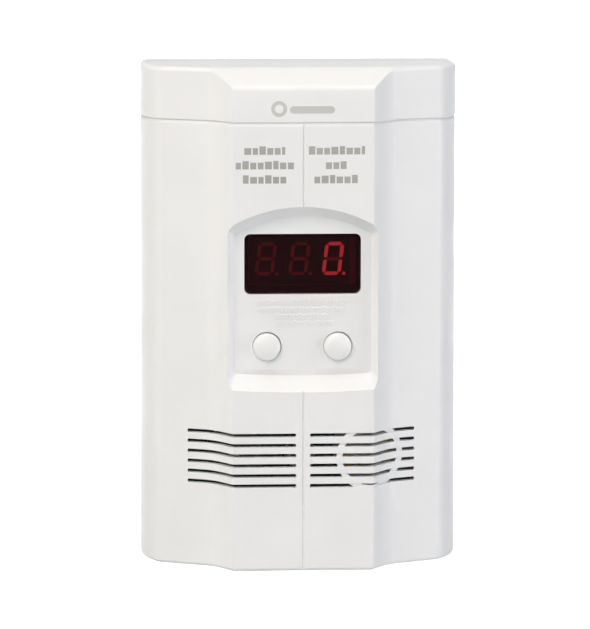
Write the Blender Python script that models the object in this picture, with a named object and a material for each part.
"""Wall-hung carbon monoxide and gas alarm, built as separate pieces. Metres, +Z up, front faces -Y."""

import math

import bmesh
import bpy
from mathutils import Matrix, Vector

# ---- overall case ----
CASE_HEIGHT = 0.1534
CASE_DEPTH = 0.043
CASE_HALF_WIDTH = 0.0483
HALF_HEIGHT = CASE_HEIGHT / 2
FRONT_Y = -CASE_DEPTH
SIDE_DRAFT = 0.006          # share by which the case is wider than nominal at its foot
WALL = 0.0022
REAR_WALL = 0.0024
GAP = 0.0003                # clearance left between neighbouring pieces

# ---- plan shape of the front, as half-width and depth behind the middle band ----
BAND_HALF_WIDTH = 0.0213
STEP_FOOT = (0.0290, 0.0084)
WING_END = (0.0425, 0.0141)
SIDE_START = (CASE_HALF_WIDTH, 0.0290)
STEP_PULL_START = (0.0229, 0.0013)
STEP_PULL_END = (0.0254, 0.0066)
CORNER_PULL_START = (0.0443, 0.0149)
CORNER_PULL_END = (0.0479, 0.0205)
STEP_SEGMENTS = 5
CORNER_SEGMENTS = 6

# ---- heights and split lines ----
SPLIT_Y = -0.010            # front cover meets rear cover here
SEAM_Z = 0.0603             # top edge of the front cover
CAP_BOTTOM_Z = 0.0606
NECK_TOP_Z = 0.0655
NECK_INSET = 0.0026
NECK_INNER_INSET = 0.0040
NECK_ROOT_Z = 0.0550
FOLD_INSET = 0.0030         # insets beyond this fold the outline at the band's edges
CAP_EDGE_RADIUS = 0.0016
CAP_SLOPE_HEIGHT = 0.0055   # height of the sloping edge on the cap's middle band
CAP_SLOPE_DEPTH = 0.0090
EDGE_BREAK = 0.0005
REAR_CORNER = 0.0030

# ---- sunk display panel ----
PANEL_DEPTH = 0.0045
PANEL_HALF_WIDTH = 0.0209
PANEL_BOTTOM_Z = -0.0169
PANEL_TOP_Z = 0.0319
PANEL_ARCH_RADIUS = 0.0420
MOUTH_HALF_WIDTH = 0.0242
MOUTH_BOTTOM_Z = -0.0214
MOUTH_TOP_Z = 0.0352
MOUTH_ARCH_RADIUS = 0.0440
PANEL_BACKING = 0.0021
ARCH_SEGMENTS = 12
FOOT_SEGMENTS = 6
FOOT_BOW = 0.0007
FLOOR_Y = FRONT_Y + PANEL_DEPTH
BACKING_Y = FLOOR_Y + PANEL_BACKING

# ---- window and display ----
WINDOW_Z = 0.0173
WINDOW_HALF_WIDTH = 0.0175
WINDOW_HALF_HEIGHT = 0.0091
WINDOW_CORNER = 0.0012
LENS_SINK = 0.0002
LENS_FLANGE = 0.0018
LENS_FLANGE_THICKNESS = 0.0010
DISPLAY_HALF_WIDTH = 0.0165
DISPLAY_HALF_HEIGHT = 0.0080
DISPLAY_THICKNESS = 0.0070
DISPLAY_Z = 0.0184

# ---- buttons ----
BUTTON_X = 0.0108
BUTTON_Z = -0.0079
BUTTON_RADIUS = 0.0041
BUTTON_HOLE_RADIUS = 0.00435
BUTTON_PROUD = 0.0014
BUTTON_RIM_PROUD = 0.0006
BUTTON_FLANGE_RADIUS = 0.0051
BUTTON_FLANGE_THICKNESS = 0.0010
BUTTON_STEM_RADIUS = 0.0016
SWITCH_HALF = 0.0030
SWITCH_HEIGHT = 0.0035
PLUNGER_RADIUS = 0.0016
PLUNGER_HOLE_RADIUS = 0.0018
PLUNGER_LENGTH = 0.0026
PLUNGER_STAND = 0.0014

# ---- vents and centre groove ----
SLOT_COUNT = 6
SLOT_TOP_Z = -0.0346
SLOT_PITCH = 0.00312
SLOT_HEIGHT = 0.0011
SLOT_INNER_X = 0.0021
SLOT_OUTER_X = 0.0348
SLOT_BACK_Y = -0.0275
GROOVE_HALF_WIDTH = 0.00035
GROOVE_DEPTH = 0.0005

# ---- circuit board ----
BOARD_FRONT_Y = -0.0227
BOARD_THICKNESS = 0.0016
BOARD_REAR_Y = BOARD_FRONT_Y + BOARD_THICKNESS
BOARD_HALF_WIDTH = 0.0345
BOARD_BOTTOM_Z = -0.0720
BOARD_TOP_Z = 0.0270
BOARD_SCREW_X = 0.0310
BOARD_SCREW_HEIGHTS = (0.0220, -0.0660)
BOARD_HOLE_RADIUS = 0.0015
STANDOFF_RADIUS = 0.0026
STANDOFF_FRONT_Y = -0.0318

# ---- case screws ----
CASE_SCREW_X = 0.0395
CASE_SCREW_HEIGHTS = (0.0560, -0.0680)
BOSS_RADIUS = 0.0032
BOSS_FRONT_Y = -0.0284
SCREW_WELL_RADIUS = 0.0033
SCREW_WELL_OUTER = 0.0046
SCREW_SEAT_Y = -0.0068
SCREW_HEAD_RADIUS = 0.0028
SCREW_HEAD_HEIGHT = 0.0020
SCREW_SHANK_RADIUS = 0.0013
SCREW_HOLE_RADIUS = 0.0017
PILOT_RADIUS = 0.00145

# ---- battery well and door ----
WELL_HALF_WIDTH = 0.0290
WELL_BOTTOM_Z = 0.0310
WELL_TOP_Z = 0.0595
WELL_FLOOR_Y = -0.0215
INSERT_WALL = 0.0016         # wall of the battery tray and of the inlet bay
DOOR_THICKNESS = 0.0020
DOOR_FACE_Y = -0.0001
HINGE_Y = DOOR_FACE_Y - DOOR_THICKNESS / 2
HINGE_Z = WELL_BOTTOM_Z + GAP + DOOR_THICKNESS / 2
HINGE_PIN_RADIUS = 0.0008
HINGE_SLOT_HALF = 0.0010
HINGE_PIN_REACH = 0.0012
DOOR_TAB_HALF_WIDTH = 0.0050
DOOR_TAB_REACH = 0.0015
BATTERY_LENGTH = 0.0464
BATTERY_HALF_HEIGHT = 0.01325
BATTERY_THICKNESS = 0.0172
BATTERY_LEFT_X = -0.0282
TERMINAL_OFFSET = 0.00635
TERMINAL_HEIGHT = 0.0026
STUD_RADIUS = 0.0026
CUP_OUTER_RADIUS = 0.0040
CUP_INNER_RADIUS = 0.0030
SNAP_PLATE_THICKNESS = 0.0020

# ---- rear keyholes and power plug bay ----
KEYHOLE_X = 0.0382
KEYHOLE_Z = 0.0390
KEYHOLE_RADIUS = 0.0042
KEYHOLE_SLOT_HALF = 0.0023
KEYHOLE_SLOT_LENGTH = 0.0085
BAY_HALF_WIDTH = 0.0110
BAY_BOTTOM_Z = -0.0700
BAY_TOP_Z = -0.0460
BAY_FLOOR_Y = -0.0130
CHANNEL_HALF_WIDTH = 0.0035
CHANNEL_DEPTH = 0.0070
INLET_Y = -0.0072
INLET_OUTER_RADIUS = 0.0036
INLET_BORE_RADIUS = 0.0028
INLET_PIN_RADIUS = 0.0010
INLET_BODY_TOP_Z = -0.0330
LABEL_HALF_WIDTH = 0.0270
LABEL_HALF_HEIGHT = 0.0160
LABEL_Z = -0.0240
LABEL_POCKET = 0.0005

# ---- sensors and horn ----
HORN_X = 0.0206
HORN_Z = -0.0417
HORN_OUTER_RADIUS = 0.0104
HORN_INNER_RADIUS = 0.0086
HORN_FRONT_Y = -0.0308
HORN_FLOOR_Y = -0.0245
HORN_WALL_SINK = 0.0004      # how far the horn's wall stands behind the front face
PIEZO_RADIUS = 0.0079
CERAMIC_RADIUS = 0.0055
CELL_X = -0.0205
CELL_Z = -0.0430
CELL_RADIUS = 0.0088
CELL_CAP_RADIUS = 0.0092
CELL_FRONT_Y = -0.0310
GAS_X = 0.0
GAS_Z = -0.0430
GAS_RADIUS = 0.0046
GAS_FRONT_Y = -0.0330

ROUND = 32
SMALL_ROUND = 20


def clear_scene():
    for old in list(bpy.data.objects):
        bpy.data.objects.remove(old, do_unlink=True)


def material(name, colour, roughness, metallic=0.0):
    made = bpy.data.materials.new(name)
    made.use_nodes = True
    shader = made.node_tree.nodes["Principled BSDF"]
    shader.inputs["Base Color"].default_value = (*colour, 1.0)
    shader.inputs["Roughness"].default_value = roughness
    shader.inputs["Metallic"].default_value = metallic
    made.diffuse_color = (*colour, 1.0)
    return made


def object_from_bmesh(name, work, smooth=False):
    bmesh.ops.recalc_face_normals(work, faces=work.faces)
    mesh = bpy.data.meshes.new(name)
    work.to_mesh(mesh)
    work.free()
    if smooth:
        mesh.shade_smooth()
        mesh.set_sharp_from_angle(angle=math.radians(35))
    made = bpy.data.objects.new(name, mesh)
    bpy.context.scene.collection.objects.link(made)
    return made


def loft(name, rings, smooth=False, closed=False):
    """Solid through equal-length closed rings of points, capped at both ends unless it closes on itself."""
    work = bmesh.new()
    rows = []
    for ring in rings:
        rows.append([work.verts.new(point) for point in ring])
    count = len(rows[0])
    spans = len(rows) if closed else len(rows) - 1
    for row in range(spans):
        low = rows[row]
        high = rows[(row + 1) % len(rows)]
        for corner in range(count):
            following = (corner + 1) % count
            work.faces.new((low[corner], low[following], high[following], high[corner]))
    if not closed:
        work.faces.new(rows[0])
        work.faces.new(rows[-1])
    return object_from_bmesh(name, work, smooth)


def block(name, x_span, y_span, z_span):
    rings = []
    for z in z_span:
        rings.append([
            (x_span[0], y_span[0], z),
            (x_span[1], y_span[0], z),
            (x_span[1], y_span[1], z),
            (x_span[0], y_span[1], z),
        ])
    return loft(name, rings)


def turned(name, centre, axis, profile, segments=ROUND, closed=False):
    """Solid of revolution. The profile lists distance along the axis and radius."""
    direction = Vector(axis).normalized()
    turn = Vector((0, 0, 1)).rotation_difference(direction).to_matrix()
    rings = []
    for distance, radius in profile:
        ring = []
        for step in range(segments):
            angle = 2 * math.pi * (step + 0.5) / segments
            local = Vector((radius * math.cos(angle), radius * math.sin(angle), distance))
            ring.append(Vector(centre) + turn @ local)
        rings.append(ring)
    return loft(name, rings, smooth=True, closed=closed)


def as_cutter(obj):
    obj.hide_render = True
    obj.display_type = "WIRE"
    return obj


def combine(target, other, operation):
    as_cutter(other)
    change = target.modifiers.new(other.name, "BOOLEAN")
    change.operation = operation
    change.solver = "EXACT"
    change.object = other


def cut(target, *others):
    for other in others:
        combine(target, other, "DIFFERENCE")


def join(target, *others):
    for other in others:
        combine(target, other, "UNION")


def finish(obj, look, origin=None):
    obj.data.materials.clear()
    obj.data.materials.append(look)
    if origin is not None:
        obj.data.transform(Matrix.Translation(-Vector(origin)))
        obj.location = origin
    return obj


def bezier(start, pull_start, pull_end, end, segments):
    """Points after the start, up to and including the end."""
    points = []
    for step in range(1, segments + 1):
        t = step / segments
        weights = ((1 - t) ** 3, 3 * t * (1 - t) ** 2, 3 * t * t * (1 - t), t ** 3)
        across = sum(w * p[0] for w, p in zip(weights, (start, pull_start, pull_end, end)))
        depth = sum(w * p[1] for w, p in zip(weights, (start, pull_start, pull_end, end)))
        points.append((across, depth))
    return points


def front_half_profile():
    """Half of the case's plan outline, from the band's edge to the rear, as (x, y)."""
    edge = (BAND_HALF_WIDTH, 0.0)
    points = [edge]
    points += bezier(edge, STEP_PULL_START, STEP_PULL_END, STEP_FOOT, STEP_SEGMENTS)
    points.append(WING_END)
    points += bezier(WING_END, CORNER_PULL_START, CORNER_PULL_END, SIDE_START, CORNER_SEGMENTS)
    return [(across, FRONT_Y + depth) for across, depth in points]


def case_outline(inset, rear_y):
    """Closed plan outline of the case, moved inwards by the inset and ended at rear_y."""
    half = front_half_profile()
    half.append((CASE_HALF_WIDTH, 0.0))
    path = [(x, y) for x, y in reversed(half)] + [(-x, y) for x, y in half]
    moved = []
    for index, point in enumerate(path):
        before = Vector(path[max(index - 1, 0)])
        after = Vector(path[min(index + 1, len(path) - 1)])
        here = Vector(point)
        into = (here - before).normalized() if index > 0 else (after - here).normalized()
        out = (after - here).normalized() if index < len(path) - 1 else into
        normal = Vector((into.y + out.y, -(into.x + out.x))).normalized()
        edge_normal = Vector((into.y, -into.x))
        moved.append(here + normal * inset / max(normal.dot(edge_normal), 0.5))
    moved[0] = Vector((moved[0].x, rear_y))
    moved[-1] = Vector((moved[-1].x, rear_y))
    kept = unfolded(path, moved) if inset > FOLD_INSET else moved
    return [(point.x, point.y) for point in kept]


def unfolded(path, moved):
    """The moved points without those that a large inset has carried past their neighbours."""
    kept = [moved[0]]
    for index in range(1, len(moved)):
        heading = Vector(path[index]) - Vector(path[index - 1])
        if (moved[index] - moved[index - 1]).dot(heading) > 0:
            kept.append(moved[index])
        else:
            kept[-1] = (kept[-1] + moved[index]) / 2
    return kept


def drafted(x, z):
    return x * (1 - SIDE_DRAFT * z / HALF_HEIGHT)


def case_prism(name, sections, rear_y):
    """Solid with the case's plan outline. Sections are (height, inset) pairs."""
    rings = []
    for z, inset in sections:
        rings.append([(drafted(x, z), y, z) for x, y in case_outline(inset, rear_y)])
    return loft(name, rings)


def arched_ring(half_width, bottom_z, top_z, arch_radius, y):
    """Outline of the sunk panel: an arched top and a foot that bows down a little in the middle."""
    points = []
    for step in range(FOOT_SEGMENTS + 1):
        share = 2 * step / FOOT_SEGMENTS - 1
        points.append((share * half_width, y, bottom_z + FOOT_BOW * share * share))
    centre_z = top_z - arch_radius
    reach = math.asin(half_width / arch_radius)
    for step in range(ARCH_SEGMENTS + 1):
        angle = reach * (1 - 2 * step / ARCH_SEGMENTS)
        points.append((arch_radius * math.sin(angle), y, centre_z + arch_radius * math.cos(angle)))
    return points


def panel_cutter():
    mouth = (MOUTH_HALF_WIDTH, MOUTH_BOTTOM_Z, MOUTH_TOP_Z, MOUTH_ARCH_RADIUS)
    floor = (PANEL_HALF_WIDTH, PANEL_BOTTOM_Z, PANEL_TOP_Z, PANEL_ARCH_RADIUS)
    rings = [
        arched_ring(*mouth, FRONT_Y - WALL),
        arched_ring(*mouth, FRONT_Y),
        arched_ring(*floor, FLOOR_Y),
    ]
    return loft("panel_cutter", rings)


def panel_backing():
    """Material kept behind the sunk panel."""
    grow = WALL
    mouth = (MOUTH_HALF_WIDTH + grow, MOUTH_BOTTOM_Z - grow, MOUTH_TOP_Z + grow)
    floor = (PANEL_HALF_WIDTH + grow, PANEL_BOTTOM_Z - grow, PANEL_TOP_Z + grow)
    rings = [
        arched_ring(*mouth, MOUTH_ARCH_RADIUS + grow, FRONT_Y),
        arched_ring(*floor, PANEL_ARCH_RADIUS + grow, BACKING_Y),
    ]
    return loft("panel_backing", rings)


def rounded_plate(name, half_width, half_height, centre_z, y_span, corner):
    rings = []
    for y in y_span:
        ring = []
        for sign_x, sign_z, start in ((1, 1, 0), (-1, 1, 90), (-1, -1, 180), (1, -1, 270)):
            for step in range(4):
                angle = math.radians(start + 30 * step)
                x = sign_x * (half_width - corner) + corner * math.cos(angle)
                z = centre_z + sign_z * (half_height - corner) + corner * math.sin(angle)
                ring.append((x, y, z))
        rings.append(ring)
    return loft(name, rings)


def slot_cutters():
    """All vent slots on both sides, as one set of bars."""
    work = bmesh.new()
    for side in (-1, 1):
        for row in range(SLOT_COUNT):
            middle = SLOT_TOP_Z - row * SLOT_PITCH
            centre = Vector((
                side * (SLOT_INNER_X + SLOT_OUTER_X) / 2,
                (FRONT_Y - WALL + SLOT_BACK_Y) / 2,
                middle,
            ))
            size = Vector((SLOT_OUTER_X - SLOT_INNER_X, SLOT_BACK_Y - FRONT_Y + WALL, SLOT_HEIGHT))
            place = Matrix.Translation(centre) @ Matrix.Diagonal((*size, 1.0))
            bmesh.ops.create_cube(work, size=1.0, matrix=place)
    return object_from_bmesh("vent_cutters", work)


def horn_wall():
    """Round wall behind the right-hand slots that leads the horn's sound to them."""
    rear = HORN_FRONT_Y - GAP
    front = FRONT_Y - WALL
    profile = (
        (0, HORN_OUTER_RADIUS), (rear - front, HORN_OUTER_RADIUS),
        (rear - front, HORN_INNER_RADIUS), (0, HORN_INNER_RADIUS),
    )
    wall = turned("horn_wall", (HORN_X, front, HORN_Z), (0, 1, 0), profile, closed=True)
    reach = HORN_OUTER_RADIUS + WALL
    sections = ((HORN_Z - reach, HORN_WALL_SINK), (HORN_Z + reach, HORN_WALL_SINK))
    combine(wall, case_prism("horn_wall_limit", sections, SPLIT_Y), "INTERSECT")
    return wall


def groove_cutter(name, low_z, high_z):
    rings = []
    for z in (low_z, high_z):
        rings.append([
            (-2 * GROOVE_HALF_WIDTH, FRONT_Y - GROOVE_DEPTH, z),
            (2 * GROOVE_HALF_WIDTH, FRONT_Y - GROOVE_DEPTH, z),
            (0.0, FRONT_Y + GROOVE_DEPTH, z),
        ])
    return loft(name, rings)


def front_cover(look):
    sections = (
        (-HALF_HEIGHT, 2 * EDGE_BREAK),
        (-HALF_HEIGHT + 2 * EDGE_BREAK, 0.0),
        (SEAM_Z - EDGE_BREAK, 0.0),
        (SEAM_Z, EDGE_BREAK),
    )
    cover = case_prism("front_cover", sections, SPLIT_Y)
    neck_sections = ((NECK_ROOT_Z, NECK_INSET), (NECK_TOP_Z, NECK_INSET))
    join(cover, case_prism("cover_neck", neck_sections, SPLIT_Y))
    cavity_sections = ((-HALF_HEIGHT + WALL, WALL), (NECK_ROOT_Z + WALL, WALL))
    cavity = case_prism("cover_cavity", cavity_sections, SPLIT_Y / 2)
    cut(cavity, panel_backing())
    upper_sections = ((NECK_ROOT_Z, NECK_INNER_INSET), (NECK_TOP_Z + WALL, NECK_INNER_INSET))
    cut(cover, cavity, case_prism("neck_cavity", upper_sections, SPLIT_Y / 2))
    for side in (-1, 1):
        for number, z in enumerate(CASE_SCREW_HEIGHTS):
            centre = (side * CASE_SCREW_X, BOSS_FRONT_Y, z)
            length = SPLIT_Y - BOSS_FRONT_Y
            name = f"boss_{side}_{number}"
            join(cover, turned(name, centre, (0, 1, 0), ((0, BOSS_RADIUS), (length, BOSS_RADIUS)), SMALL_ROUND))
        for number, z in enumerate(BOARD_SCREW_HEIGHTS):
            centre = (side * BOARD_SCREW_X, STANDOFF_FRONT_Y, z)
            length = BOARD_FRONT_Y - GAP - STANDOFF_FRONT_Y
            profile = ((0, STANDOFF_RADIUS), (length, STANDOFF_RADIUS))
            join(cover, turned(f"standoff_{side}_{number}", centre, (0, 1, 0), profile, SMALL_ROUND))
    cut(cover, panel_cutter(), slot_cutters())
    join(cover, horn_wall())
    cut(cover, groove_cutter("upper_groove", PANEL_TOP_Z, NECK_TOP_Z))
    cut(cover, groove_cutter("lower_groove", -HALF_HEIGHT - WALL, PANEL_BOTTOM_Z))
    window_span = (FLOOR_Y - WALL, BACKING_Y + WALL)
    cut(cover, rounded_plate(
        "window_cutter", WINDOW_HALF_WIDTH, WINDOW_HALF_HEIGHT, WINDOW_Z, window_span, WINDOW_CORNER))
    for side in (-1, 1):
        hole = ((-WALL, BUTTON_HOLE_RADIUS), (PANEL_BACKING + WALL, BUTTON_HOLE_RADIUS))
        cut(cover, turned(f"button_hole_{side}", (side * BUTTON_X, FLOOR_Y, BUTTON_Z), (0, 1, 0), hole))
        for number, z in enumerate(CASE_SCREW_HEIGHTS):
            pilot = ((-0.013, PILOT_RADIUS), (WALL, PILOT_RADIUS))
            centre = (side * CASE_SCREW_X, SPLIT_Y, z)
            cut(cover, turned(f"pilot_{side}_{number}", centre, (0, 1, 0), pilot, SMALL_ROUND))
        for number, z in enumerate(BOARD_SCREW_HEIGHTS):
            pilot = ((-0.006, 0.0011), (WALL, 0.0011))
            centre = (side * BOARD_SCREW_X, BOARD_FRONT_Y, z)
            cut(cover, turned(f"board_pilot_{side}_{number}", centre, (0, 1, 0), pilot, SMALL_ROUND))
    return finish(cover, look)


def slope_wedge(name, shift):
    """Everything above the sloping edge of the cap's band, moved down the slope's normal by the shift."""
    length = math.hypot(CAP_SLOPE_HEIGHT, CAP_SLOPE_DEPTH)
    back_shift = shift * CAP_SLOPE_HEIGHT / length
    down_shift = shift * CAP_SLOPE_DEPTH / length
    reach = 3.0
    low = (
        FRONT_Y - reach * CAP_SLOPE_DEPTH + back_shift,
        HALF_HEIGHT - CAP_SLOPE_HEIGHT * (1 + reach) - down_shift,
    )
    high = (
        FRONT_Y + CAP_SLOPE_DEPTH * (1 + reach) + back_shift,
        HALF_HEIGHT + CAP_SLOPE_HEIGHT * reach - down_shift,
    )
    rings = []
    for x in (-2 * CASE_HALF_WIDTH, 2 * CASE_HALF_WIDTH):
        rings.append([(x, low[0], low[1]), (x, high[0], high[1]), (x, low[0], high[1])])
    return loft(name, rings)


def top_cap(look):
    r = CAP_EDGE_RADIUS
    top = HALF_HEIGHT
    sections = [(CAP_BOTTOM_Z, EDGE_BREAK), (CAP_BOTTOM_Z + EDGE_BREAK, -0.0001)]
    for step in range(4):
        angle = math.radians(30 * step)
        sections.append((top - r + r * math.sin(angle), r - r * math.cos(angle) - 0.0001))
    cap = case_prism("top_cap", sections, SPLIT_Y)
    inner = case_prism("cap_cavity", ((CAP_BOTTOM_Z - WALL, WALL), (top - WALL, WALL)), SPLIT_Y / 2)
    cut(inner, slope_wedge("inner_slope", WALL))
    cut(cap, slope_wedge("outer_slope", 0.0), inner)
    return finish(cap, look)


def rear_outline(inset, front_y, rear_y):
    """Plan outline of the rear tray with rounded rear corners."""
    corner = max(REAR_CORNER - inset, EDGE_BREAK)
    half = CASE_HALF_WIDTH - inset
    right = [(half, front_y)]
    for step in range(4):
        angle = math.radians(30 * step)
        right.append((half - corner + corner * math.cos(angle), rear_y - corner + corner * math.sin(angle)))
    return right + [(-x, y) for x, y in reversed(right)]


def rear_prism(name, sections, front_y, rear_y):
    """Solid with the rear tray's plan outline. Sections are (height, inset) pairs."""
    rings = []
    for z, inset in sections:
        rings.append([(drafted(x, z), y, z) for x, y in rear_outline(inset, front_y, rear_y)])
    return loft(name, rings)


def keyhole_cutters(side):
    through = ((-0.006, KEYHOLE_RADIUS), (0.002, KEYHOLE_RADIUS))
    entry = turned(f"keyhole_entry_{side}", (side * KEYHOLE_X, 0, KEYHOLE_Z), (0, 1, 0), through)
    top = KEYHOLE_Z + KEYHOLE_SLOT_LENGTH
    slot = block(
        f"keyhole_slot_{side}",
        (side * KEYHOLE_X - KEYHOLE_SLOT_HALF, side * KEYHOLE_X + KEYHOLE_SLOT_HALF),
        (-0.006, 0.002),
        (KEYHOLE_Z, top),
    )
    ends = ((-0.006, KEYHOLE_SLOT_HALF), (0.002, KEYHOLE_SLOT_HALF))
    round_end = turned(f"keyhole_end_{side}", (side * KEYHOLE_X, 0, top), (0, 1, 0), ends, SMALL_ROUND)
    join(slot, round_end)
    return entry, slot


def screw_well(x, z, name):
    profile = (
        (0.001, SCREW_WELL_RADIUS),
        (SCREW_SEAT_Y, SCREW_WELL_RADIUS),
        (SCREW_SEAT_Y, SCREW_HOLE_RADIUS),
        (SPLIT_Y - 0.001, SCREW_HOLE_RADIUS),
    )
    return turned(name, (x, 0, z), (0, 1, 0), profile)


def rear_cover(look):
    r = CAP_EDGE_RADIUS
    sections = [(-HALF_HEIGHT, 2 * EDGE_BREAK), (-HALF_HEIGHT + 2 * EDGE_BREAK, 0.0)]
    for step in range(4):
        angle = math.radians(30 * step)
        sections.append((HALF_HEIGHT - r + r * math.sin(angle), r - r * math.cos(angle)))
    cover = rear_prism("rear_cover", sections, SPLIT_Y + GAP, 0.0)
    hollow = ((-HALF_HEIGHT + WALL, WALL), (HALF_HEIGHT - WALL, WALL))
    cut(cover, rear_prism("rear_cavity", hollow, SPLIT_Y - WALL, -REAR_WALL))
    for side in (-1, 1):
        for number, z in enumerate(CASE_SCREW_HEIGHTS):
            centre = (side * CASE_SCREW_X, SPLIT_Y + GAP, z)
            profile = ((0, SCREW_WELL_OUTER), (-SPLIT_Y - GAP - REAR_WALL / 2, SCREW_WELL_OUTER))
            join(cover, turned(f"well_tube_{side}_{number}", centre, (0, 1, 0), profile))
    w = INSERT_WALL
    edge = w + GAP
    cut(cover, block(
        "tray_opening",
        (-WELL_HALF_WIDTH - edge, WELL_HALF_WIDTH + edge),
        (SPLIT_Y - w, w),
        (WELL_BOTTOM_Z - edge, WELL_TOP_Z + edge),
    ))
    cut(cover, block(
        "bay_opening",
        (-BAY_HALF_WIDTH - edge, BAY_HALF_WIDTH + edge),
        (SPLIT_Y - w, w),
        (BAY_BOTTOM_Z - edge, BAY_TOP_Z + edge),
    ))
    cut(cover, block(
        "channel_opening",
        (-CHANNEL_HALF_WIDTH - edge, CHANNEL_HALF_WIDTH + edge),
        (-CHANNEL_DEPTH - edge, w),
        (-HALF_HEIGHT - w, BAY_BOTTOM_Z),
    ))
    for side in (-1, 1):
        cut(cover, *keyhole_cutters(side))
        for number, z in enumerate(CASE_SCREW_HEIGHTS):
            cut(cover, screw_well(side * CASE_SCREW_X, z, f"screw_well_{side}_{number}"))
    cut(cover, block(
        "label_pocket",
        (-LABEL_HALF_WIDTH, LABEL_HALF_WIDTH),
        (-LABEL_POCKET, w),
        (LABEL_Z - LABEL_HALF_HEIGHT, LABEL_Z + LABEL_HALF_HEIGHT),
    ))
    return finish(cover, look)


def battery_tray(look):
    """Open box that holds the battery, with slots for the door's hinge pins and a pocket for its tab."""
    w = INSERT_WALL
    tray = block(
        "battery_tray",
        (-WELL_HALF_WIDTH - w, WELL_HALF_WIDTH + w),
        (WELL_FLOOR_Y - w, 0.0),
        (WELL_BOTTOM_Z - w, WELL_TOP_Z + w),
    )
    cut(tray, block(
        "well_cutter", (-WELL_HALF_WIDTH, WELL_HALF_WIDTH), (WELL_FLOOR_Y, w), (WELL_BOTTOM_Z, WELL_TOP_Z)))
    cut(tray, block(
        "hinge_slots",
        (-WELL_HALF_WIDTH - 2 * w, WELL_HALF_WIDTH + 2 * w),
        (HINGE_Y - HINGE_SLOT_HALF, w),
        (HINGE_Z - HINGE_SLOT_HALF, HINGE_Z + HINGE_SLOT_HALF),
    ))
    cut(tray, block(
        "tab_pocket",
        (-DOOR_TAB_HALF_WIDTH - 2 * GAP, DOOR_TAB_HALF_WIDTH + 2 * GAP),
        (-DOOR_THICKNESS + 2 * GAP, w),
        (WELL_TOP_Z - w, WELL_TOP_Z + 2 * w),
    ))
    return finish(tray, look)


def inlet_bay(look):
    """Pocket for the power plug, with a channel that leads its cord out at the foot."""
    w = INSERT_WALL
    bay = block(
        "inlet_bay",
        (-BAY_HALF_WIDTH - w, BAY_HALF_WIDTH + w),
        (BAY_FLOOR_Y - w, 0.0),
        (BAY_BOTTOM_Z - w, BAY_TOP_Z + w),
    )
    join(bay, block(
        "channel_walls",
        (-CHANNEL_HALF_WIDTH - w, CHANNEL_HALF_WIDTH + w),
        (-CHANNEL_DEPTH - w, 0.0),
        (-HALF_HEIGHT, BAY_BOTTOM_Z - w / 2),
    ))
    cut(bay, block(
        "bay_cutter", (-BAY_HALF_WIDTH, BAY_HALF_WIDTH), (BAY_FLOOR_Y, w), (BAY_BOTTOM_Z, BAY_TOP_Z)))
    cut(bay, block(
        "channel_cutter",
        (-CHANNEL_HALF_WIDTH, CHANNEL_HALF_WIDTH),
        (-CHANNEL_DEPTH, w),
        (-HALF_HEIGHT - w, BAY_BOTTOM_Z + w),
    ))
    inlet = ((-w, INLET_OUTER_RADIUS + 2 * GAP / 3), (3 * w, INLET_OUTER_RADIUS + 2 * GAP / 3))
    cut(bay, turned("inlet_hole", (0, INLET_Y, BAY_TOP_Z), (0, 0, 1), inlet))
    return finish(bay, look)


def battery_door(look):
    half = WELL_HALF_WIDTH - GAP
    radius = DOOR_THICKNESS / 2
    rings = []
    for x in (-half, half):
        ring = []
        for step in range(7):
            angle = math.radians(180 + 30 * step)
            ring.append((x, HINGE_Y + radius * math.cos(angle), HINGE_Z + radius * math.sin(angle)))
        ring.append((x, HINGE_Y + radius, WELL_TOP_Z - GAP))
        ring.append((x, HINGE_Y - radius, WELL_TOP_Z - GAP))
        rings.append(ring)
    door = loft("battery_door", rings)
    reach = WELL_HALF_WIDTH + HINGE_PIN_REACH
    pins = turned(
        "hinge_pins", (-reach, HINGE_Y, HINGE_Z), (1, 0, 0),
        ((0, HINGE_PIN_RADIUS), (2 * reach, HINGE_PIN_RADIUS)), SMALL_ROUND)
    join(door, pins)
    join(door, block(
        "door_tab",
        (-DOOR_TAB_HALF_WIDTH, DOOR_TAB_HALF_WIDTH),
        (HINGE_Y, DOOR_FACE_Y - GAP),
        (WELL_TOP_Z - 2 * DOOR_TAB_REACH, WELL_TOP_Z + DOOR_TAB_REACH),
    ))
    origin = (0, HINGE_Y, HINGE_Z)
    for modifier in door.modifiers:
        modifier.object.data.transform(Matrix.Translation(-Vector(origin)))
        modifier.object.location = origin
    return finish(door, look, origin)


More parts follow.
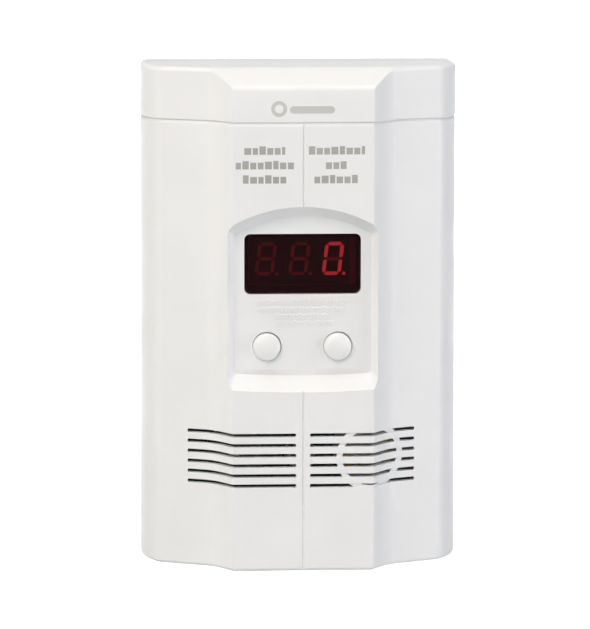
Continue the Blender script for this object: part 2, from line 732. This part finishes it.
def battery(case_look, terminal_look, holder_look, contact_look):
    middle_z = (WELL_BOTTOM_Z + WELL_TOP_Z) / 2
    rear_y = HINGE_Y - DOOR_THICKNESS / 2 - 2 * GAP
    x_span = (BATTERY_LEFT_X, BATTERY_LEFT_X + BATTERY_LENGTH)
    corner = 0.0020
    rings = []
    for x in x_span:
        ring = []
        middle_y = rear_y - BATTERY_THICKNESS / 2
        for sign_y, sign_z, start in ((1, 1, 0), (-1, 1, 90), (-1, -1, 180), (1, -1, 270)):
            for step in range(3):
                angle = math.radians(start + 45 * step)
                y = middle_y + sign_y * (BATTERY_THICKNESS / 2 - corner) + corner * math.cos(angle)
                z = middle_z + sign_z * (BATTERY_HALF_HEIGHT - corner) + corner * math.sin(angle)
                ring.append((x, y, z))
        rings.append(ring)
    finish(loft("battery_cell", rings), case_look)
    middle_y = rear_y - BATTERY_THICKNESS / 2
    start_x = x_span[1] + GAP / 3
    plate_x = x_span[1] + TERMINAL_HEIGHT + 2 * GAP
    stud = ((0, STUD_RADIUS), (TERMINAL_HEIGHT - GAP, STUD_RADIUS))
    cup = (
        (0, CUP_OUTER_RADIUS), (TERMINAL_HEIGHT - GAP, CUP_OUTER_RADIUS),
        (TERMINAL_HEIGHT - GAP, CUP_INNER_RADIUS), (0, CUP_INNER_RADIUS),
    )
    upper = (start_x, middle_y, middle_z + TERMINAL_OFFSET)
    lower = (start_x, middle_y, middle_z - TERMINAL_OFFSET)
    finish(turned("battery_terminal_positive", upper, (1, 0, 0), stud, SMALL_ROUND), terminal_look)
    finish(turned("battery_terminal_negative", lower, (1, 0, 0), cup, SMALL_ROUND, closed=True), terminal_look)
    plate = block(
        "snap_holder",
        (plate_x, plate_x + SNAP_PLATE_THICKNESS),
        (middle_y - 0.0070, middle_y + 0.0070),
        (middle_z - 0.0125, middle_z + 0.0125),
    )
    finish(plate, holder_look)
    upper = (plate_x - GAP / 3, middle_y, middle_z + TERMINAL_OFFSET)
    lower = (plate_x - GAP / 3, middle_y, middle_z - TERMINAL_OFFSET)
    finish(turned("snap_contact_positive", upper, (-1, 0, 0), cup, SMALL_ROUND, closed=True), contact_look)
    finish(turned("snap_contact_negative", lower, (-1, 0, 0), stud, SMALL_ROUND), contact_look)


def display(lens_look, module_look, header_look):
    front_y = FLOOR_Y + LENS_SINK
    flange_y = BACKING_Y + GAP / 3
    lens = rounded_plate(
        "display_lens", WINDOW_HALF_WIDTH - GAP / 2, WINDOW_HALF_HEIGHT - GAP / 2, WINDOW_Z,
        (front_y, flange_y + LENS_FLANGE_THICKNESS / 2), WINDOW_CORNER)
    join(lens, block(
        "lens_flange",
        (-WINDOW_HALF_WIDTH - LENS_FLANGE, WINDOW_HALF_WIDTH + LENS_FLANGE),
        (flange_y, flange_y + LENS_FLANGE_THICKNESS),
        (WINDOW_Z - WINDOW_HALF_HEIGHT - LENS_FLANGE, WINDOW_Z + WINDOW_HALF_HEIGHT + LENS_FLANGE),
    ))
    finish(lens, lens_look)
    module_y = flange_y + LENS_FLANGE_THICKNESS + GAP
    module = block(
        "display_module",
        (-DISPLAY_HALF_WIDTH, DISPLAY_HALF_WIDTH),
        (module_y, module_y + DISPLAY_THICKNESS),
        (DISPLAY_Z - DISPLAY_HALF_HEIGHT, DISPLAY_Z + DISPLAY_HALF_HEIGHT),
    )
    finish(module, module_look)
    header_y = module_y + DISPLAY_THICKNESS + GAP
    header = block(
        "display_header", (-0.0140, 0.0140), (header_y, BOARD_FRONT_Y - GAP),
        (DISPLAY_Z - 0.0060, DISPLAY_Z - 0.0030))
    join(header, block(
        "header_upper", (-0.0140, 0.0140), (header_y, BOARD_FRONT_Y - GAP),
        (DISPLAY_Z + 0.0030, DISPLAY_Z + 0.0060)))
    join(header, block(
        "header_bridge", (-0.0020, 0.0020), (header_y, BOARD_FRONT_Y - GAP),
        (DISPLAY_Z - 0.0040, DISPLAY_Z + 0.0040)))
    finish(header, header_look)


def button_set(side, word, cap_look, body_look, plunger_look):
    centre = (side * BUTTON_X, FLOOR_Y, BUTTON_Z)
    plunger_y = BOARD_FRONT_Y - GAP - SWITCH_HEIGHT - PLUNGER_STAND
    flange_y = PANEL_BACKING + GAP
    stem_end = plunger_y - GAP / 3 - FLOOR_Y
    dome_rise = BUTTON_PROUD - BUTTON_RIM_PROUD
    profile = []
    for step in range(1, 6):
        share = math.sin(math.radians(18 * step))
        height = math.cos(math.radians(18 * step))
        profile.append((-BUTTON_RIM_PROUD - dome_rise * height, BUTTON_RADIUS * share))
    profile += [
        (flange_y, BUTTON_RADIUS),
        (flange_y, BUTTON_FLANGE_RADIUS),
        (flange_y + BUTTON_FLANGE_THICKNESS, BUTTON_FLANGE_RADIUS),
        (flange_y + BUTTON_FLANGE_THICKNESS, BUTTON_STEM_RADIUS),
        (stem_end, BUTTON_STEM_RADIUS),
    ]
    cap = turned(f"button_{word}", centre, (0, 1, 0), profile)
    finish(cap, cap_look, centre)
    body_rear = BOARD_FRONT_Y - GAP
    body = block(
        f"switch_body_{word}",
        (centre[0] - SWITCH_HALF, centre[0] + SWITCH_HALF),
        (body_rear - SWITCH_HEIGHT, body_rear),
        (BUTTON_Z - SWITCH_HALF, BUTTON_Z + SWITCH_HALF),
    )
    pocket = ((-WALL, PLUNGER_HOLE_RADIUS), (SWITCH_HEIGHT - 0.0008, PLUNGER_HOLE_RADIUS))
    pocket_centre = (centre[0], body_rear - SWITCH_HEIGHT, BUTTON_Z)
    cut(body, turned(f"switch_pocket_{word}", pocket_centre, (0, 1, 0), pocket, SMALL_ROUND))
    finish(body, body_look)
    start = (centre[0], plunger_y, BUTTON_Z)
    plunger = turned(
        f"switch_plunger_{word}", start, (0, 1, 0),
        ((0, PLUNGER_RADIUS), (PLUNGER_LENGTH, PLUNGER_RADIUS)), SMALL_ROUND)
    finish(plunger, plunger_look, start)


def main_board(look):
    board = block(
        "main_board",
        (-BOARD_HALF_WIDTH, BOARD_HALF_WIDTH),
        (BOARD_FRONT_Y, BOARD_REAR_Y),
        (BOARD_BOTTOM_Z, BOARD_TOP_Z),
    )
    for side in (-1, 1):
        for number, z in enumerate(BOARD_SCREW_HEIGHTS):
            hole = ((-WALL, BOARD_HOLE_RADIUS), (2 * WALL, BOARD_HOLE_RADIUS))
            centre = (side * BOARD_SCREW_X, BOARD_FRONT_Y, z)
            cut(board, turned(f"board_hole_{side}_{number}", centre, (0, 1, 0), hole, SMALL_ROUND))
    return finish(board, look)


def screws(look):
    number = 1
    for side in (-1, 1):
        for z in CASE_SCREW_HEIGHTS:
            seat = -GAP / 3
            profile = (
                (-SCREW_HEAD_HEIGHT, SCREW_HEAD_RADIUS * 0.75),
                (-SCREW_HEAD_HEIGHT * 0.5, SCREW_HEAD_RADIUS),
                (seat, SCREW_HEAD_RADIUS),
                (seat, SCREW_SHANK_RADIUS),
                (0.0125, SCREW_SHANK_RADIUS),
                (0.0140, SCREW_SHANK_RADIUS * 0.4),
            )
            centre = (side * CASE_SCREW_X, SCREW_SEAT_Y, z)
            finish(turned(f"case_screw_{number}", centre, (0, -1, 0), profile, SMALL_ROUND), look)
            number += 1
    number = 1
    for side in (-1, 1):
        for z in BOARD_SCREW_HEIGHTS:
            profile = (
                (-0.0014, 0.0014),
                (-0.0009, 0.0021),
                (-GAP / 3, 0.0021),
                (-GAP / 3, 0.00095),
                (0.0060, 0.00095),
                (0.0070, 0.0004),
            )
            centre = (side * BOARD_SCREW_X, BOARD_REAR_Y, z)
            finish(turned(f"board_screw_{number}", centre, (0, -1, 0), profile, SMALL_ROUND), look)
            number += 1


def horn(housing_look, brass_look, ceramic_look):
    rear = BOARD_FRONT_Y - GAP
    profile = (
        (0, HORN_OUTER_RADIUS),
        (HORN_FRONT_Y - rear, HORN_OUTER_RADIUS),
        (HORN_FRONT_Y - rear, HORN_INNER_RADIUS),
        (HORN_FLOOR_Y - rear, HORN_INNER_RADIUS),
    )
    housing = turned("horn_housing", (HORN_X, rear, HORN_Z), (0, 1, 0), profile)
    finish(housing, housing_look)
    disc = ((0, PIEZO_RADIUS), (0.0004, PIEZO_RADIUS))
    disc_y = HORN_FLOOR_Y - GAP - 0.0004
    finish(turned("piezo_disc", (HORN_X, disc_y, HORN_Z), (0, 1, 0), disc), brass_look)
    layer = ((0, CERAMIC_RADIUS), (0.0003, CERAMIC_RADIUS))
    layer_y = disc_y - GAP / 3 - 0.0003
    finish(turned("piezo_ceramic", (HORN_X, layer_y, HORN_Z), (0, 1, 0), layer), ceramic_look)


def sensors(can_look, cap_look, base_look):
    rear = BOARD_FRONT_Y - GAP
    cap_y = CELL_FRONT_Y + 0.0016
    can = ((0, CELL_RADIUS), (rear - cap_y, CELL_RADIUS))
    finish(turned("co_cell_can", (CELL_X, cap_y, CELL_Z), (0, 1, 0), can), can_look)
    cap = turned(
        "co_cell_cap", (CELL_X, CELL_FRONT_Y, CELL_Z), (0, 1, 0),
        ((0, CELL_CAP_RADIUS), (0.0016 - GAP / 3, CELL_CAP_RADIUS)))
    opening = ((-WALL, 0.0018), (WALL, 0.0018))
    cut(cap, turned("cell_inlet", (CELL_X, CELL_FRONT_Y, CELL_Z), (0, 1, 0), opening, SMALL_ROUND))
    finish(cap, cap_look)
    base_y = rear - 0.0024
    base = ((0, GAS_RADIUS + 0.0008), (0.0024, GAS_RADIUS + 0.0008))
    finish(turned("gas_sensor_base", (GAS_X, base_y, GAS_Z), (0, 1, 0), base), base_look)
    shell = ((0, GAS_RADIUS * 0.86), (0.0006, GAS_RADIUS), (base_y - GAP / 3 - GAS_FRONT_Y, GAS_RADIUS))
    finish(turned("gas_sensor_can", (GAS_X, GAS_FRONT_Y, GAS_Z), (0, 1, 0), shell), can_look)


def board_parts(chip_look, regulator_look, capacitor_look, coil_look):
    rear = BOARD_REAR_Y + GAP
    chip = block("microcontroller", (-0.0050, 0.0050), (rear, rear + 0.0016), (-0.0060, 0.0040))
    finish(chip, chip_look)
    body = block("voltage_regulator", (0.0180, 0.0280), (rear, rear + 0.0045), (-0.0400, -0.0310))
    join(body, block("regulator_tab", (0.0180, 0.0280), (rear, rear + 0.0013), (-0.0320, -0.0250)))
    finish(body, regulator_look)
    large = ((0, 0.0050), (0.0120, 0.0050), (0.0125, 0.0045))
    finish(turned("capacitor_large", (-0.0220, rear, -0.0330), (0, 1, 0), large), capacitor_look)
    small = ((0, 0.0032), (0.0075, 0.0032), (0.0080, 0.0028))
    finish(turned("capacitor_small", (-0.0220, rear, -0.0180), (0, 1, 0), small, SMALL_ROUND), capacitor_look)
    coil = ((0, 0.0042), (0.0012, 0.0042), (0.0012, 0.0034), (0.0058, 0.0034), (0.0058, 0.0042), (0.0070, 0.0042))
    finish(turned("horn_coil", (0.0210, rear, -0.0120), (0, 1, 0), coil), coil_look)


def power_inlet(body_look, pin_look):
    low = BAY_TOP_Z + INSERT_WALL + GAP
    body = block("power_inlet", (-0.0045, 0.0045), (-0.0118, -REAR_WALL - GAP), (low, INLET_BODY_TOP_Z))
    nose = ((-INSERT_WALL - GAP, INLET_OUTER_RADIUS), (0.0020, INLET_OUTER_RADIUS))
    join(body, turned("inlet_nose", (0, INLET_Y, low), (0, 0, 1), nose))
    bore = ((-0.0030, INLET_BORE_RADIUS), (0.0085, INLET_BORE_RADIUS))
    cut(body, turned("inlet_bore", (0, INLET_Y, low), (0, 0, 1), bore))
    finish(body, body_look)
    pin = ((0, INLET_PIN_RADIUS * 0.7), (0.0006, INLET_PIN_RADIUS), (0.0080, INLET_PIN_RADIUS))
    finish(turned("inlet_pin", (0, INLET_Y, low), (0, 0, 1), pin, SMALL_ROUND), pin_look)


def rating_label(look):
    edge = GAP
    label = block(
        "rating_label",
        (-LABEL_HALF_WIDTH + edge, LABEL_HALF_WIDTH - edge),
        (-LABEL_POCKET + GAP / 3, -LABEL_POCKET + GAP),
        (LABEL_Z - LABEL_HALF_HEIGHT + edge, LABEL_Z + LABEL_HALF_HEIGHT - edge),
    )
    return finish(label, look)


def build():
    clear_scene()
    white = (0.84, 0.84, 0.83)
    front_cover(material("cover_plastic", white, 0.42))
    top_cap(material("cap_plastic", white, 0.42))
    rear_cover(material("rear_plastic", (0.82, 0.82, 0.81), 0.48))
    battery_tray(material("tray_plastic", (0.82, 0.82, 0.81), 0.48))
    inlet_bay(material("bay_plastic", (0.82, 0.82, 0.81), 0.48))
    battery_door(material("door_plastic", (0.82, 0.82, 0.81), 0.48))
    battery(
        material("battery_jacket", (0.10, 0.10, 0.11), 0.35),
        material("terminal_steel", (0.72, 0.72, 0.72), 0.28, 1.0),
        material("snap_plastic", (0.05, 0.05, 0.05), 0.50),
        material("contact_steel", (0.75, 0.74, 0.70), 0.30, 1.0),
    )
    display(
        material("lens_tint", (0.05, 0.008, 0.012), 0.08),
        material("display_body", (0.12, 0.03, 0.03), 0.45),
        material("header_plastic", (0.03, 0.03, 0.03), 0.50),
    )
    cap_look = material("button_plastic", white, 0.36)
    switch_look = material("switch_plastic", (0.06, 0.06, 0.06), 0.45)
    plunger_look = material("plunger_plastic", (0.10, 0.10, 0.10), 0.45)
    button_set(-1, "left", cap_look, switch_look, plunger_look)
    button_set(1, "right", cap_look, switch_look, plunger_look)
    main_board(material("board_laminate", (0.03, 0.16, 0.07), 0.45))
    screws(material("screw_steel", (0.62, 0.62, 0.62), 0.32, 1.0))
    horn(
        material("horn_plastic", (0.86, 0.86, 0.85), 0.45),
        material("brass", (0.72, 0.50, 0.20), 0.30, 1.0),
        material("ceramic", (0.80, 0.78, 0.72), 0.50),
    )
    sensors(
        material("can_steel", (0.66, 0.66, 0.66), 0.30, 1.0),
        material("cell_cap_plastic", (0.10, 0.10, 0.11), 0.50),
        material("sensor_base_plastic", (0.06, 0.06, 0.06), 0.50),
    )
    board_parts(
        material("chip_epoxy", (0.02, 0.02, 0.02), 0.55),
        material("regulator_epoxy", (0.04, 0.04, 0.04), 0.50),
        material("capacitor_sleeve", (0.04, 0.05, 0.14), 0.35),
        material("coil_ferrite", (0.09, 0.08, 0.08), 0.60),
    )
    power_inlet(
        material("inlet_plastic", (0.04, 0.04, 0.04), 0.45),
        material("inlet_contact", (0.75, 0.74, 0.70), 0.30, 1.0),
    )
    rating_label(material("label_paper", (0.70, 0.70, 0.70), 0.60))


build()
